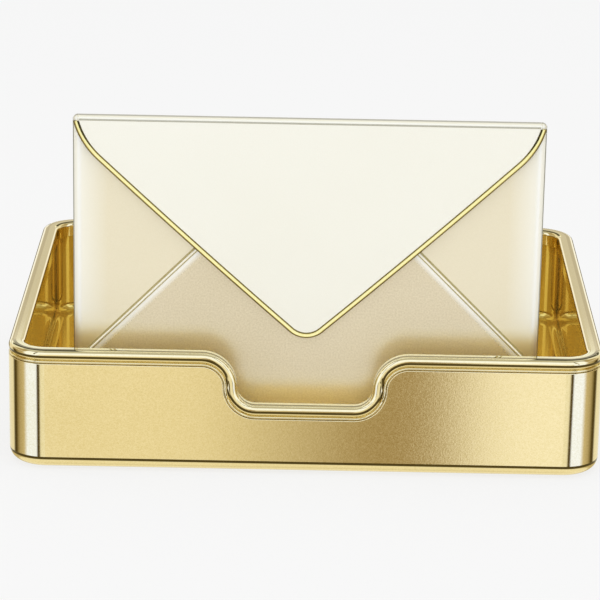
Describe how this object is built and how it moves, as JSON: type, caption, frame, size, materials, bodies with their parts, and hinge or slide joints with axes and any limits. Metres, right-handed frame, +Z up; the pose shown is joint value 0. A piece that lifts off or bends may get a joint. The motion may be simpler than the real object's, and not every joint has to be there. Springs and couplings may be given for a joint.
{
  "type": "letter tray with envelope case",
  "caption": "Low rectangular desk tray with a finger notch in its front wall, and an upright envelope-shaped letter case with a hinged flap that lifts out of a cradle.",
  "frame": {"origin": "on the table, under the centre of the tray's footprint", "axes": "+Z up, front wall with the finger notch towards -Y, long side along X"},
  "size_m": [0.33, 0.261, 0.198],
  "materials": {
    "polished_brass": "mirror-polished yellow brass",
    "satin_brass": "fine bead-blasted satin brass",
    "inner_brass": "polished deep-gold brass",
    "champagne_aluminium": "champagne anodised, fine satin grain",
    "cream_aluminium": "ivory anodised, smooth satin",
    "fastener_steel": "bright zinc",
    "base_steel": "gold-lacquered steel sheet, satin",
    "liner_felt": "dense wool felt, tan",
    "foot_rubber": "matt dark rubber"
  },
  "bodies": {
    "tray": {"outer_shell": "satin_brass", "inner_pan": "inner_brass", "rim_moulding": "polished_brass", "rim_bead": "polished_brass", "base_plate": "base_steel", "base_standoffs": "fastener_steel", "base_screws": "fastener_steel", "foot_pad_front_left": "foot_rubber", "foot_pad_front_right": "foot_rubber", "foot_pad_rear_left": "foot_rubber", "foot_pad_rear_right": "foot_rubber", "cradle_channel": "satin_brass", "cradle_liner": "liner_felt", "cradle_studs": "fastener_steel", "cradle_nuts": "fastener_steel"},
    "case": {"back_panel": "champagne_aluminium", "left_side_flap": "champagne_aluminium", "right_side_flap": "champagne_aluminium", "bottom_flap": "champagne_aluminium", "bottom_flap_bead": "champagne_aluminium", "hinge_ear_left": "champagne_aluminium", "hinge_ear_right": "champagne_aluminium", "hinge_rod": "polished_brass"},
    "flap": {"top_flap": "cream_aluminium", "top_flap_piping": "polished_brass"}
  },
  "joints": [
    {"name": "case_lift", "type": "slide", "parent": "tray", "child": "case", "axis": [0, 0, 1], "range_m": [0, 0.06]},
    {"name": "flap_hinge", "type": "hinge", "parent": "case", "child": "flap", "pos_m": [0, -0.1054, 0.1954], "axis": [-1, 0, 0], "range_deg": [0, 180]}
  ]
}
